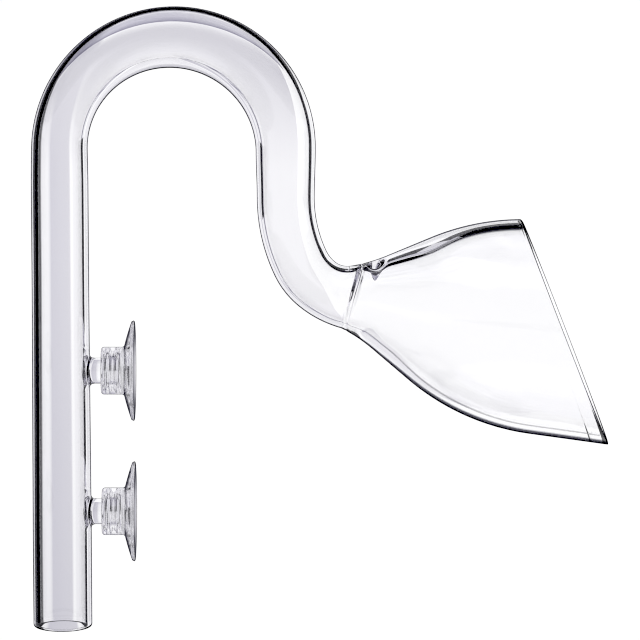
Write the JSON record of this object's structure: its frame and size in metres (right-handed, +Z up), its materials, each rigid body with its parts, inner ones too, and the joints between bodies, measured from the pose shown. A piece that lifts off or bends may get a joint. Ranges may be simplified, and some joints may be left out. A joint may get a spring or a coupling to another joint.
{
  "type": "aquarium filter outflow pipe",
  "caption": "Bent glass outflow pipe that hangs over an aquarium's rim: hose leg with suction cups on glass stubs, U-bend, drop leg and an obliquely cut lily-shaped bell.",
  "frame": {"origin": "centre of the hose end's face, at the foot of the hose leg", "axes": "+Z up along the hose leg, +X from the hose leg towards the lily bell, the pipe is bent in the XZ plane"},
  "size_m": [0.171, 0.0632, 0.1856],
  "materials": {
    "clear_glass": "clear, fire-polished",
    "clear_vinyl": "clear soft vinyl, smooth"
  },
  "bodies": {
    "glass_pipe": {"hose_tail": "clear_glass", "riser_tube": "clear_glass", "rise_bend": "clear_glass", "fall_bend": "clear_glass", "drop_tube": "clear_glass", "sweep_bend": "clear_glass", "neck_weld": "clear_glass", "lily_bell": "clear_glass", "upper_nub": "clear_glass", "lower_nub": "clear_glass"},
    "upper_cup": {"upper_suction_cup": "clear_vinyl"},
    "lower_cup": {"lower_suction_cup": "clear_vinyl"}
  },
  "joints": [
    {"name": "upper_cup_pull", "type": "slide", "parent": "glass_pipe", "child": "upper_cup", "axis": [1, 0, 0], "range_m": [0, 0.006]},
    {"name": "lower_cup_pull", "type": "slide", "parent": "glass_pipe", "child": "lower_cup", "axis": [1, 0, 0], "range_m": [0, 0.006]}
  ]
}
